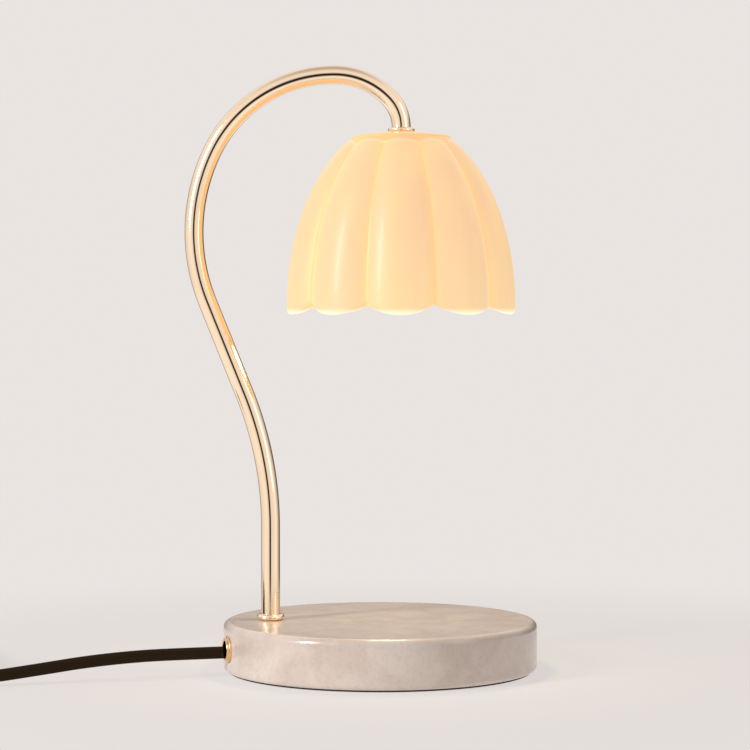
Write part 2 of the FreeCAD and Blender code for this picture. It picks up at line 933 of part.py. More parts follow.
def cord_grommet():
    """A brass bush: a barrel in the bore and a stepped flange outside it."""
    half = grommet_proud / 2
    barrel = grommet_barrel - fit_gap
    back = -grommet_length
    profile = [
        [(grommet_bore, back), (barrel, back)],
        [(barrel, back), (barrel, 0)],
        [(barrel, 0), (grommet_flange, 0)],
        [(grommet_flange, 0), (grommet_flange, half * 0.7)],
        [(grommet_flange, half * 0.7), (grommet_flange - 0.25, half * 0.95), (grommet_flange - 0.7, half)],
        [(grommet_flange - 0.7, half), (grommet_lip, half)],
        [(grommet_lip, half), (grommet_lip - 0.05, grommet_proud - 0.4)],
        [
            (grommet_lip - 0.05, grommet_proud - 0.4),
            ((grommet_lip + grommet_bore) / 2, grommet_proud),
            (grommet_bore, grommet_proud - 0.4),
        ],
        [(grommet_bore, grommet_proud - 0.4), (grommet_bore, back)],
    ]
    bush = turned(profile, V(0, 0, 0))
    bush.rotate(V(0, 0, 0), V(0, 1, 0), 90)
    bush.rotate(V(0, 0, 0), UP, cord_bearing)
    bush.translate(cord_point(spot_depth(), grommet_height))
    return bush


def rounded_bar(length, width, z, height):
    """A bar with half-round ends, lying along X at the dimmer's place."""
    half = width / 2
    straight = length / 2 - half
    corners = [V(-straight, half, 0), V(straight, half, 0), V(straight, -half, 0), V(-straight, -half, 0)]
    edges = [
        Part.LineSegment(corners[0], corners[1]),
        Part.Arc(corners[1], V(length / 2, 0, 0), corners[2]),
        Part.LineSegment(corners[2], corners[3]),
        Part.Arc(corners[3], V(-length / 2, 0, 0), corners[0]),
    ]
    bar = Part.Face(Part.Wire([e.toShape() for e in edges])).extrude(V(0, 0, height))
    bar.translate(V(dimmer_x, dimmer_y, z))
    return bar


def dimmer_posts(z, height, radius):
    return [cylinder(radius, height, V(dimmer_x + side * post_x, dimmer_y, z)) for side in (-1, 1)]


def relief_seats():
    """Where the strain reliefs sit in both halves of the housing."""
    return [relief_stub(side, fit_gap) for side in (-1, 1)]


def relief_stub(side, grow):
    wide = cord_width + relief_grow * 2 + 2 * grow
    inside = 5.0
    outside = 3.0
    start = V(dimmer_x + side * (dimmer_length / 2 - inside), dimmer_y, dimmer_half)
    stub = Part.makeBox(inside + outside, wide, wide)
    stub.translate(V(-inside / 2 - outside / 2, -wide / 2, -wide / 2))
    stub.translate(start + V(side * (inside + outside) / 2, 0, 0))
    return stub


def dimmer_lower():
    shell = rounded_bar(dimmer_length, dimmer_width, 0, dimmer_half)
    low = [e for e in shell.Edges if e.BoundBox.ZMax < 0.01]
    shell = shell.makeFillet(dimmer_round, low)
    hollow = rounded_bar(
        dimmer_length - 2 * dimmer_wall, dimmer_width - 2 * dimmer_wall, dimmer_wall, dimmer_half
    )
    shell = shell.cut(hollow)
    for post in dimmer_posts(dimmer_wall, dimmer_half - dimmer_wall, post_radius):
        shell = shell.fuse(post)
    for hole in dimmer_posts(0, dimmer_half, screw_radius + fit_gap):
        shell = shell.cut(hole)
    for sink in dimmer_posts(0, screw_head_height + 0.4, screw_head_radius + fit_gap):
        shell = shell.cut(sink)
    for seat in relief_seats():
        shell = shell.cut(seat)
    return shell.removeSplitter()


def dimmer_upper():
    shell = rounded_bar(dimmer_length, dimmer_width, dimmer_half, dimmer_half)
    top = [e for e in shell.Edges if e.BoundBox.ZMin > 2 * dimmer_half - 0.01]
    shell = shell.makeFillet(dimmer_round, top)
    hollow = rounded_bar(
        dimmer_length - 2 * dimmer_wall, dimmer_width - 2 * dimmer_wall, dimmer_half, dimmer_half - dimmer_wall
    )
    shell = shell.cut(hollow)
    shell = shell.cut(
        cylinder(shaft_radius + run_gap, dimmer_half, V(dimmer_x, dimmer_y, dimmer_half + 2))
    )
    for post in dimmer_posts(dimmer_half, dimmer_half - dimmer_wall, post_radius):
        shell = shell.fuse(post)
    for hole in dimmer_posts(dimmer_half, dimmer_half - 2 * dimmer_wall, screw_radius + fit_gap):
        shell = shell.cut(hole)
    for seat in relief_seats():
        shell = shell.cut(seat)
    return shell.removeSplitter()


def dimmer_screws():
    screws = []
    for side in (-1, 1):
        at = V(dimmer_x + side * post_x, dimmer_y, 0.4)
        head = cylinder(screw_head_radius, screw_head_height, at)
        shank = cylinder(screw_radius, 2 * dimmer_half - 3 * dimmer_wall, at)
        screws.append(head.fuse(shank).removeSplitter())
    return Part.makeCompound(screws)


def board_top():
    return 2 * dimmer_half - dimmer_wall - pot_height - 0.2


def dimmer_board():
    board = box(board_length, board_width, board_thickness, V(dimmer_x, dimmer_y, board_top() - board_thickness))
    legs = [
        box(2.0, board_width - 4, board_top() - board_thickness - dimmer_wall, V(x, dimmer_y, dimmer_wall))
        for x in (dimmer_x - board_length / 2 + 2, dimmer_x + board_length / 2 - 2)
    ]
    for leg in legs:
        board = board.fuse(leg)
    return board.removeSplitter()


def dimmer_pot():
    """The rotary control's body, soldered on the board."""
    at = V(dimmer_x, dimmer_y, board_top())
    body = cylinder(pot_radius, pot_height, at)
    return body.cut(cylinder(shaft_radius + run_gap, pot_height, at + V(0, 0, 1.0)))


def shaft_top():
    return 2 * dimmer_half + dial_lift + dial_height - 1.5


def dimmer_shaft():
    low = board_top() + 1.0 + run_gap
    shaft = cylinder(shaft_radius, shaft_top() - low, V(dimmer_x, dimmer_y, low))
    flat = box(2 * shaft_radius, shaft_flat, 10, V(dimmer_x, dimmer_y, 2 * dimmer_half + dial_lift))
    flat.translate(V(0, shaft_radius - shaft_flat / 2, 0))
    return shaft.cut(flat)


def dimmer_dial():
    low = 2 * dimmer_half + dial_lift
    at = V(dimmer_x, dimmer_y, low)
    dial = cylinder(dial_radius, dial_height, at)
    dial = dial.makeFillet(0.9, [e for e in dial.Edges if e.Closed and e.BoundBox.ZMin > low + dial_height - 0.01])
    for k in range(dial_ribs):
        turn = math.radians(360 * k / dial_ribs)
        groove_at = at + V(math.cos(turn), math.sin(turn), 0) * (dial_radius + 0.35)
        dial = dial.cut(cylinder(0.8, dial_height - 1.5, groove_at))
    bore = dimmer_shaft_blank(low).cut(dimmer_flat_blank(low))
    dial = dial.cut(bore)
    pointer = box(1.4, 6.0, 1.0, at + V(0, dial_radius - 5.0, dial_height - 0.6))
    return dial.cut(pointer)


def dimmer_shaft_blank(low):
    return cylinder(shaft_radius + fit_gap, shaft_top() + fit_gap - low, V(dimmer_x, dimmer_y, low))


def dimmer_flat_blank(low):
    flat = box(2 * shaft_radius + 1, shaft_flat, 10, V(dimmer_x, dimmer_y, low))
    flat.translate(V(0, shaft_radius + fit_gap - shaft_flat / 2 + fit_gap, 0))
    return flat


def taper(at, along, length, grow, start_extra=0.7):
    """A moulded sleeve that grows from the cord's outline to a wider one."""

    def outline(centre, extra):
        side = UP.cross(along)
        half_side = cord_thick / 2 + extra
        half_up = cord_width / 2 + extra
        corner = half_side * 0.98
        rise = half_up - corner
        a = centre + side * half_side + UP * rise
        b = centre - side * half_side + UP * rise
        c = centre - side * half_side - UP * rise
        d = centre + side * half_side - UP * rise
        return Part.Wire(
            [
                Part.Arc(a, centre + UP * half_up, b).toShape(),
                Part.LineSegment(b, c).toShape(),
                Part.Arc(c, centre - UP * half_up, d).toShape(),
                Part.LineSegment(d, a).toShape(),
            ]
        )

    return Part.makeLoft([outline(at, start_extra), outline(at + along * length, grow)], True, True)


def ribbed_sleeve(at, along, length, grow):
    sleeve = taper(at, along, length, grow)
    slits = 4
    pitch = (length - 6.0) / slits
    for k in range(slits):
        middle = at + along * (3.0 + pitch * (k + 0.5))
        for side in (-1, 1):
            slit = Part.makeBox(1.2, 1.6, 3 * cord_width)
            slit.translate(V(-0.6, -0.8, -1.5 * cord_width))
            slit.rotate(V(0, 0, 0), UP, math.degrees(math.atan2(along.y, along.x)))
            depth = cord_thick / 2 + 1.35 + 0.8 * grow * (k + 1) / slits * 0.5
            sideways = UP.cross(along) * (side * depth)
            slit.translate(middle + sideways)
            sleeve = sleeve.cut(slit)
    return sleeve


def dimmer_relief(side):
    outer_end = V(dimmer_x + side * (dimmer_length / 2 + relief_length), dimmer_y, dimmer_half)
    along = V(-side, 0, 0)
    sleeve = ribbed_sleeve(outer_end, along, relief_length, relief_grow)
    return sleeve.fuse(relief_stub(side, 0.0).common(half_space(side))).removeSplitter()


def half_space(side):
    """Keeps the stub inside the housing's end wall."""
    deep = Part.makeBox(5.0 + 1.0, 40, 40)
    start = dimmer_x + side * (dimmer_length / 2 - 5.0)
    deep.translate(V(min(start, start + side * 6.0), dimmer_y - 20, dimmer_half - 20))
    return deep


def biarc(p0, t0, p1, t1):
    """Two arcs that leave p0 along t0 and reach p1 along t1."""
    v = p1 - p0
    spread = 2 * (1 - t0.dot(t1))
    along = v.dot(t0 + t1)
    reach = v.dot(v) / (along + math.sqrt(along * along + spread * v.dot(v)))
    joint = (p0 + t0 * reach + p1 - t1 * reach) * 0.5
    back = t1 * -1
    return [
        Part.Arc(p0, arc_middle(p0, t0, joint), joint).toShape(),
        Part.Arc(joint, arc_middle(p1, back, joint), p1).toShape(),
    ]


def coil_station(turn):
    """Place on the coil after so many turns: clockwise from its right side, spiralling in
    on the lower layer, up in the last half turn of that, and out again on the upper layer.
    The first upper turn moves out faster, so that it clears the climb."""
    inwards = min(turn, turns_in)
    outwards = max(turn - turns_in, 0.0)
    radius = coil_radius - coil_step * (inwards - outwards)
    radius += coil_bulge * (1 - math.exp(-((outwards / 0.35) ** 2)))
    share = min(max((turn - turns_in + climb_turn) / climb_turn, 0.0), 1.0)
    lift = coil_lift * (share - math.sin(2 * math.pi * share) / (2 * math.pi))
    angle = -2 * math.pi * turn
    return V(coil_x + radius * math.cos(angle), coil_y + radius * math.sin(angle), cord_z + lift)


def coil_tangent(turn):
    step = 0.002
    ahead = coil_station(turn + step) - coil_station(turn - step)
    ahead.normalize()
    return ahead


def plug_axis_z():
    return plug_body_height / 2


def coil_edges():
    """The coiled cord's path from dimmer to plug: its free ends and its turns."""
    into = [V(*p) for p in mains_route]
    into[0] = V(dimmer_x + dimmer_length / 2 + relief_length, dimmer_y, dimmer_half)
    into[-1] = coil_station(0)
    edges = rounded_route(into, "cord_coil start")
    total = turns_in + turns_out
    steps = int(round(total * stations_per_turn))
    out = plug_points()
    tangents = [coil_tangent(total * k / steps) for k in range(steps + 1)]
    tangents[0] = into[-1] - into[-2]
    tangents[0].normalize()
    tangents[-1] = out[1] - out[0]
    tangents[-1].normalize()
    for k in range(steps):
        begin = coil_station(total * k / steps)
        end = coil_station(total * (k + 1) / steps)
        edges += biarc(begin, tangents[k], end, tangents[k + 1])
    return edges + rounded_route(out, "cord_coil end")


def plug_points():
    end = coil_station(turns_in + turns_out)
    points = [end + V(*step) for step in plug_route]
    for point in points[-2:]:
        point.z = plug_axis_z() + floor_gap
    return points


def self_gap(edges, skip):
    """Least clear distance of the cord to itself, from points along its line."""
    path = Part.Wire(edges)
    points = path.discretize(Distance=1.5)
    least = 1e9
    for i in range(len(points)):
        for j in range(i + skip, len(points)):
            flat = math.hypot(points[i].x - points[j].x, points[i].y - points[j].y)
            rise = abs(points[i].z - points[j].z)
            gap = max(flat - cord_thick, rise - cord_width)
            least = min(least, gap)
    return least


def plug_mouth():
    """The face of the plug's sleeve and the direction in which the plug points."""
    points = plug_points()
    away = points[-1] - points[-2]
    away.normalize()
    return points[-1], away


def cord_coil():
    edges = coil_edges()
    start = Part.Wire(edges).OrderedVertexes[0].Point
    solid = sweep(edges, cord_profile(start, PLUS_X))
    report_volume("cord_coil", solid, edges)
    print("cord_coil least gap to itself", round(self_gap(edges, 20), 2))
    return solid


def plug_frame(shape):
    """Turns and moves a piece drawn along X so that it lies at the plug's place."""
    at, away = plug_mouth()
    shape.rotate(V(0, 0, 0), UP, math.degrees(math.atan2(away.y, away.x)))
    shape.translate(at)
    return shape


def plug_sleeve():
    sleeve = ribbed_sleeve(V(0, 0, 0), PLUS_X, relief_length, relief_grow + 0.6)
    return plug_frame(sleeve)


def plug_body():
    """A flat moulded body, wider at the face that the blades stand on."""
    wires = []
    for x, wide, high in (
        (relief_length, plug_tip_width * 0.62, plug_body_height * 0.8),
        (relief_length + 7, plug_tip_width, plug_body_height),
        (relief_length + plug_body_length, plug_body_width, plug_body_height),
    ):
        wires.append(rounded_frame(x, wide, high, 3.2))
    body = Part.makeLoft(wires, True, True)
    for side in (-1, 1):
        slot = blade_blank(side, fit_gap)
        body = body.cut(slot)
    return plug_frame(body)


def rounded_frame(x, wide, high, corner):
    y = wide / 2
    z = high / 2
    c = min(corner, z * 0.8)
    s = c * (1 - math.sqrt(0.5))
    points = [
        (V(x, y - c, z), V(x, y - s, z - s), V(x, y, z - c)),
        (V(x, y, -z + c), V(x, y - s, -z + s), V(x, y - c, -z)),
        (V(x, -y + c, -z), V(x, -y + s, -z + s), V(x, -y, -z + c)),
        (V(x, -y, z - c), V(x, -y + s, z - s), V(x, -y + c, z)),
    ]
    edges = []
    for k, (a, m, b) in enumerate(points):
        edges.append(Part.Arc(a, m, b).toShape())
        following = points[(k + 1) % 4][0]
        edges.append(Part.LineSegment(b, following).toShape())
    return Part.Wire(edges)


def blade_blank(side, grow):
    start = relief_length + plug_body_length - blade_root
    blade = Part.makeBox(blade_root + blade_length, blade_thickness + 2 * grow, blade_width + 2 * grow)
    blade.translate(V(start, side * blade_pitch / 2 - blade_thickness / 2 - grow, -blade_width / 2 - grow))
    return blade


def plug_blades():
    blades = []
    tip = relief_length + plug_body_length + blade_length
    for side in (-1, 1):
        blade = blade_blank(side, 0.0)
        ends = [e for e in blade.Edges if e.BoundBox.XMin > tip - 0.01 and e.BoundBox.ZLength < 0.01]
        blade = blade.makeChamfer(1.2, ends)
        hole = cylinder(1.6, 10, V(tip - 4.5, side * blade_pitch / 2 - 5, 0), V(0, 1, 0))
        blades.append(plug_frame(blade.cut(hole)))
    return Part.makeCompound(blades)


def save(name, shape):
    solids = shape.Solids
    if not shape.isValid() or not solids:
        print("PROBLEM", name, "valid", shape.isValid(), "solids", len(solids))
    box_of = shape.BoundBox
    print(
        f"{name:16s} solids {len(solids)} volume {shape.Volume:10.1f}",
        f"x {box_of.XMin:8.2f} {box_of.XMax:8.2f} y {box_of.YMin:7.2f} {box_of.YMax:7.2f}",
        f"z {box_of.ZMin:7.2f} {box_of.ZMax:7.2f}",
    )
    out = solids[0] if len(solids) == 1 else Part.makeCompound(solids)
    out.exportStep(f"parts/{name}.step")


def main():
    os.makedirs("parts", exist_ok=True)
    save("marble_base", marble_base())
    save("base_pad", base_pad())
    save("anchor_plate", anchor_plate())
    save("lock_washer", lock_washer())
    save("base_nut", base_nut())
    save("neck_tube", neck_tube())
    save("foot_collar", foot_collar())
    save("shade_collar", shade_collar())
    save("glass_shade", glass_shade())
    save("shade_gasket", shade_gasket())
    save("shade_cap", shade_cap())
    save("shade_nut", shade_nut())
    save("bracket_nut", bracket_nut())
    save("socket_bracket", socket_bracket())
    save("bracket_screws", bracket_screws())
    save("lamp_holder", lamp_holder())
    save("holder_contacts", holder_contacts())
    save("bulb_base", bulb_base())
    save("bulb_pins", bulb_pins())
    save("bulb_reflector", bulb_reflector())
    save("bulb_lens", bulb_lens())
    save("bulb_capsule", bulb_capsule())
    save("lead_wires", lead_wires())
    save("splice_caps", splice_caps())
    save("inner_cord", inner_cord())
    save("cord_stop", cord_stop())
    save("cord_grommet", cord_grommet())
    save("cord_lead", cord_lead())
    save("dimmer_relief_in", dimmer_relief(-1))
    save("dimmer_relief_out", dimmer_relief(1))
    save("dimmer_lower", dimmer_lower())
    save("dimmer_upper", dimmer_upper())
    save("dimmer_screws", dimmer_screws())
    save("dimmer_board", dimmer_board())
    save("dimmer_pot", dimmer_pot())
    save("dimmer_shaft", dimmer_shaft())
    save("dimmer_dial", dimmer_dial())
    save("cord_coil", cord_coil())
    save("plug_sleeve", plug_sleeve())
    save("plug_body", plug_body())
    save("plug_blades", plug_blades())


main()
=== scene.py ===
import math

import bpy
import numpy as np
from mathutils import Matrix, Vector


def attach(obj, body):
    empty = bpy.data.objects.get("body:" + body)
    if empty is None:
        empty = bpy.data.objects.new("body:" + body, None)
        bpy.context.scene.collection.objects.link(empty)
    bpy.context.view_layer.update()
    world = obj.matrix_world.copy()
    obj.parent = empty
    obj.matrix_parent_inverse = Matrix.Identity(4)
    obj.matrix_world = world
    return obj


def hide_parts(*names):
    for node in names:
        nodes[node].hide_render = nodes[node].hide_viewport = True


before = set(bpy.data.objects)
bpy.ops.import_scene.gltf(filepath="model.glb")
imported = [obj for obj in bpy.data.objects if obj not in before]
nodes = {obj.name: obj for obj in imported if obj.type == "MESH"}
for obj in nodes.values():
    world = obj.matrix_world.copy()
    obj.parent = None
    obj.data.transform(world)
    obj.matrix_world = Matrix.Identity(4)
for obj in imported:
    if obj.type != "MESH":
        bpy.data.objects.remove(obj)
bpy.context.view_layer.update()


# Rotation that points an object's own -Z from one place to another
def aimFrom(place, target):
    return (Vector(target) - Vector(place)).to_track_quat("-Z", "Y").to_euler()


# Camera: stands 1.25 m in front of the lamp's plane and looks slightly down
cameraLook = {
    "position": (-0.0025, -1.25, 0.1786),
    "target": (-0.0025, 0.0, 0.1413),
    "lens": 125.6,
    "sensor": 36.0,
}


def makeCamera():
    data = bpy.data.cameras.new("camera")
    data.lens = cameraLook["lens"]
    data.sensor_width = cameraLook["sensor"]
    camera = bpy.data.objects.new("camera", data)
    bpy.context.scene.collection.objects.link(camera)
    camera.location = cameraLook["position"]
    camera.rotation_euler = aimFrom(cameraLook["position"], cameraLook["target"])
    bpy.context.scene.camera = camera


makeCamera()
print("camera made")


# A mesh object from rows of points and lists of point numbers
def newPiece(name, points, faces):
    mesh = bpy.data.meshes.new(name)
    mesh.from_pydata(np.reshape(points, (-1, 3)).tolist(), [], faces)
    piece = bpy.data.objects.new(name, mesh)
    bpy.context.scene.collection.objects.link(piece)
    return piece


def smoothPiece(name, points, faces):
    piece = newPiece(name, points, faces)
    piece.data.polygons.foreach_set("use_smooth", np.ones(len(faces), bool))
    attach(piece, "lamp")
    return piece


# Faces of a grid of points that closes round in its columns, and in its rows too for a loop
def gridFaces(rows, columns, loop=False, flip=False):
    grid = np.arange(rows * columns).reshape(rows, columns)
    low = grid if loop else grid[:-1]
    high = np.roll(grid, -1, axis=0)[: len(low)]
    quads = np.stack([low, np.roll(low, -1, axis=1), np.roll(high, -1, axis=1), high], axis=-1)
    return (quads[..., ::-1] if flip else quads).reshape(-1, 4).tolist()


# Cords. Their points are listed, and the mains cord winds into a coil.
cordLook = {
    "width": 0.0058,
    "thick": 0.0029,
    "waist": 0.72,
    "waistReach": 0.75,
    "spread": 1.6,
    "sides": 20,
    "leadDetail": 12,
    "mainsDetail": 5,
    "leadLength": 0.435,
    "mainsLength": 1.149,
}
leadRoute = [
    (-0.0712, -0.0218, 0.0113),
    (-0.0920, -0.0281, 0.0114),
    (-0.1130, -0.0344, 0.0112),
    (-0.1360, -0.0413, 0.0096),
    (-0.1590, -0.0478, 0.0066),
    (-0.1830, -0.0550, 0.0038),
    (-0.2080, -0.0616, 0.00305),
    (-0.2420, -0.0684, 0.0030),
    (-0.2800, -0.0714, 0.0030),
    (-0.3160, -0.0680, 0.0030),
    (-0.3470, -0.0540, 0.0030),
    (-0.3675, -0.0300, 0.0030),
    (-0.3756, -0.0030, 0.0030),
    (-0.3760, 0.0220, 0.0032),
    (-0.3733, 0.0366, 0.0040),
    (-0.3660, 0.0490, 0.0054),
    (-0.3546, 0.0572, 0.0069),
    (-0.3412, 0.0600, 0.0080),
    (-0.3320, 0.0600, 0.0080),
]
mainsRoute = [
    (-0.2360, 0.0600, 0.0080),
    (-0.2260, 0.0600, 0.0080),
    (-0.2130, 0.0563, 0.0074),
    (-0.2020, 0.0477, 0.0060),
    (-0.1950, 0.0344, 0.0044),
    (-0.1927, 0.0177, 0.0032),
    (-0.1930, -0.0020, 0.0030),
]
# Steps from the coil's last point to the plug
plugRoute = [
    (-0.0115, -0.0003, 0.0),
    (-0.0235, -0.0012, -0.0031),
    (-0.0360, -0.0023, -0.0031),
]
coilShape = {
    "centre": (-0.229, -0.002),
    "radius": 0.036,
    "step": 0.00375,
    "lift": 0.0067,
    "bulge": 0.0034,
    "bulgeTurns": 0.35,
    "turnsIn": 3.0,
    "turnsOut": 2.25,
    "climb": 0.5,
    "floor": 0.0030,
    "pointsPerTurn": 24,
}


# The coil's points: the radius shrinks by a step a turn on the floor and grows by as much on top.
# The climb between them is a slope less a sine wave, so that it starts and ends level.
def coilPoints():
    c = coilShape
    turns = c["turnsIn"] + c["turnsOut"]
    count = int(turns * c["pointsPerTurn"])
    turn = turns * np.arange(1, count + 1) / count
    inwards = np.minimum(turn, c["turnsIn"])
    outwards = np.maximum(turn - c["turnsIn"], 0.0)
    radius = c["radius"] - c["step"] * (inwards - outwards)
    radius += c["bulge"] * (1 - np.exp(-((outwards / c["bulgeTurns"]) ** 2)))
    share = np.clip((turn - c["turnsIn"] + c["climb"]) / c["climb"], 0.0, 1.0)
    lift = c["lift"] * (share - np.sin(2 * math.pi * share) / (2 * math.pi))
    angle = -2 * math.pi * turn
    x = c["centre"][0] + radius * np.cos(angle)
    y = c["centre"][1] + radius * np.sin(angle)
    return np.stack([x, y, c["floor"] + lift], axis=1)


# A smooth NURBS line with the route as its control points, read back as points
def smoothLine(name, route, detail):
    data = bpy.data.curves.new(name, "CURVE")
    data.dimensions = "3D"
    data.resolution_u = detail
    spline = data.splines.new("NURBS")
    spline.points.add(len(route) - 1)
    for point, place in zip(spline.points, route):
        point.co = (*place, 1.0)
    spline.order_u = 3
    spline.use_endpoint_u = True
    holder = bpy.data.objects.new(name, data)
    mesh = bpy.data.meshes.new_from_object(holder)
    path = np.zeros(len(mesh.vertices) * 3, np.float32)
    mesh.vertices.foreach_get("co", path)
    bpy.data.meshes.remove(mesh)
    bpy.data.objects.remove(holder)
    bpy.data.curves.remove(data)
    return path.reshape(-1, 3).astype(float)


# Outline of two round wires side by side: a circle whose halves are pulled apart in height,
# narrowed by a bell curve about its middle
def twinOutline():
    c = cordLook
    turn = 2 * math.pi * np.arange(c["sides"]) / c["sides"]
    up = np.sin(turn)
    half = c["thick"] / 2
    rise = (c["width"] - c["thick"]) / 2
    height = rise * np.copysign(np.minimum(1.0, np.abs(up) * c["spread"]), up) + half * up
    pinch = 1 - (1 - c["waist"]) * np.exp(-((height / (rise * c["waistReach"])) ** 2))
    return half * np.cos(turn) * pinch, height


# The outline carried along the line: its width lies level and its height stands square to both
def cordMesh(name, path):
    tangent = np.gradient(path, axis=0)
    tangent /= np.linalg.norm(tangent, axis=1, keepdims=True)
    side = np.cross((0.0, 0.0, 1.0), tangent)
    side /= np.linalg.norm(side, axis=1, keepdims=True)
    rise = np.cross(tangent, side)
    across, height = twinOutline()
    points = path[:, None] + side[:, None] * across[:, None] + rise[:, None] * height[:, None]
    rows, columns = points.shape[:2]
    faces = gridFaces(rows, columns, flip=True)
    faces.append(list(range(columns)))
    faces.append(list(range((rows - 1) * columns, rows * columns))[::-1])
    return smoothPiece(name, points, faces)


leadPath = smoothLine("leadLine", leadRoute, cordLook["leadDetail"])
leadCord = cordMesh("cordLeadLook", leadPath)
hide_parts("cord_lead")
coilRoute = coilPoints()
mainsPoints = np.concatenate([mainsRoute, coilRoute, coilRoute[-1] + np.array(plugRoute)])
mainsPath = smoothLine("mainsLine", mainsPoints, cordLook["mainsDetail"])
mainsCord = cordMesh("cordMainsLook", mainsPath)
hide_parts("cord_coil")
print("cords made")


# Materials
def newMaterial(name):
    material = bpy.data.materials.new(name)
    material.use_nodes = True
    tree = material.node_tree
    return material, tree, tree.nodes["Principled BSDF"]


# Puts values on a node's own settings or on its sockets, with _ for a space in a socket's name
def setValues(node, values):
    for key, value in values.items():
        if hasattr(node, key):
            setattr(node, key, value)
        else:
            node.inputs[key.replace("_", " ")].default_value = value


def addNode(tree, kind, **values):
    node = tree.nodes.new(kind)
    setValues(node, values)
    return node


def colourRamp(tree, factor, stops):
    ramp = tree.nodes.new("ShaderNodeValToRGB")
    band = ramp.color_ramp
    while len(band.elements) < len(stops):
        band.elements.new(0.5)
    for element, (place, colour) in zip(band.elements, stops):
        element.position = place
        element.color = (*colour, 1.0)
    tree.links.new(factor, ramp.inputs["Fac"])
    return ramp.outputs["Color"]


# A noise pattern on the given coordinates
def addNoise(tree, place, scale, detail, distortion=0.0):
    noise = addNode(tree, "ShaderNodeTexNoise", Scale=scale, Detail=detail, Distortion=distortion)
    tree.links.new(place, noise.inputs["Vector"])
    return noise.outputs["Fac"]


# A value between two limits, carried to between two others
def addRange(tree, value, low, high, toLow=0.0, toHigh=1.0, **values):
    span = addNode(
        tree, "ShaderNodeMapRange", From_Min=low, From_Max=high, To_Min=toLow, To_Max=toHigh, **values
    )
    tree.links.new(value, span.inputs["Value"])
    return span.outputs["Result"]


def multiplyColours(tree, a, b):
    mix = addNode(tree, "ShaderNodeMix", data_type="RGBA", blend_type="MULTIPLY", Factor=1.0)
    tree.links.new(a, mix.inputs["A"])
    tree.links.new(b, mix.inputs["B"])
    return mix.outputs["Result"]


# From a colour of the tree to a plain one, by a factor
def coverColour(tree, factor, a, plain):
    mix = addNode(tree, "ShaderNodeMix", data_type="RGBA")
    tree.links.new(factor, mix.inputs["Factor"])
    tree.links.new(a, mix.inputs["A"])
    mix.inputs["B"].default_value = (*plain, 1.0)
    return mix.outputs["Result"]


def addBump(tree, shader, height, strength, distance, invert=False):
    bump = addNode(tree, "ShaderNodeBump", Strength=strength, Distance=distance, invert=invert)
    tree.links.new(height, bump.inputs["Height"])
    tree.links.new(bump.outputs["Normal"], shader.inputs["Normal"])


# A plain finish has a slightly uneven colour and gloss and a fine grain
plainFinish = {
    "cloudScale": 60.0,
    "shift": 0.06,
    "roughSpread": 0.15,
    "metal": 0.0,
    "shine": 0.5,
    "tint": (1.0, 1.0, 1.0),
    "coat": 0.0,
    "coatRough": 0.08,
    "clear": 0.0,
    "grain": 0.0,
    "grainScale": 1500.0,
    "grainDepth": 0.00005,
}


def plainMaterial(name, changes):
    look = {**plainFinish, **changes}
    material, tree, shader = newMaterial(name)
    place = addNode(tree, "ShaderNodeTexCoord").outputs["Object"]
    cloud = addNoise(tree, place, look["cloudScale"], 3.0)
    low = tuple(max(0.0, c * (1 - look["shift"])) for c in look["colour"])
    high = tuple(min(1.0, c * (1 + look["shift"])) for c in look["colour"])
    tree.links.new(colourRamp(tree, cloud, [(0.3, low), (0.7, high)]), shader.inputs["Base Color"])
    smoother = look["rough"] * (1 - look["roughSpread"])
    rougher = look["rough"] * (1 + look["roughSpread"])
    tree.links.new(addRange(tree, cloud, 0.3, 0.7, smoother, rougher), shader.inputs["Roughness"])
    setValues(shader, {
        "Metallic": look["metal"],
        "Specular IOR Level": look["shine"],
        "Specular Tint": (*look["tint"], 1.0),
        "Coat Weight": look["coat"],
        "Coat Roughness": look["coatRough"],
        "Transmission Weight": look["clear"],
    })
    if look["grain"] > 0:
        grain = addNoise(tree, place, look["grainScale"], 2.0)
        addBump(tree, shader, grain, look["grain"], look["grainDepth"])
    return material


finishes = {
    "foam": {"colour": (0.02, 0.02, 0.02), "rough": 0.9, "grain": 0.6, "grainScale": 2500.0},
    "zinc": {"colour": (0.62, 0.62, 0.60), "rough": 0.32, "metal": 1.0, "grain": 0.1},
    "gold": {
        "colour": (0.97, 0.735, 0.52), "rough": 0.08, "metal": 1.0, "shift": 0.02, "grain": 0.02,
        "grainScale": 300.0,
    },
    "brass": {"colour": (0.86, 0.57, 0.29), "rough": 0.16, "metal": 1.0, "shift": 0.04},
    "gasket": {"colour": (0.75, 0.72, 0.66), "rough": 0.6},
    "ceramic": {"colour": (0.80, 0.77, 0.70), "rough": 0.55, "grain": 0.25, "grainScale": 3000.0},
    "contact": {"colour": (0.80, 0.60, 0.32), "rough": 0.25, "metal": 1.0},
    "pin": {"colour": (0.75, 0.75, 0.75), "rough": 0.25, "metal": 1.0},
    "reflector": {"colour": (0.80, 0.80, 0.80), "rough": 0.12, "metal": 1.0, "coat": 0.4},
    "wire": {"colour": (0.75, 0.74, 0.70), "rough": 0.5},
    "splice": {"colour": (0.80, 0.80, 0.76), "rough": 0.4},
    "cord": {
        "colour": (0.004, 0.002, 0.0012), "rough": 0.24, "grain": 0.10, "shift": 0.2, "shine": 0.30,
        "tint": (1.0, 0.62, 0.34),
    },
    "housing": {
        "colour": (0.016, 0.016, 0.017), "rough": 0.36, "grain": 0.3, "grainScale": 1800.0,
        "shine": 0.35,
    },
    "board": {"colour": (0.05, 0.22, 0.09), "rough": 0.4, "coat": 0.3},
    "capsule": {"colour": (0.92, 0.90, 0.86), "rough": 0.08, "clear": 0.7},
}
plainMaterials = {name: plainMaterial(name + "Look", look) for name, look in finishes.items()}


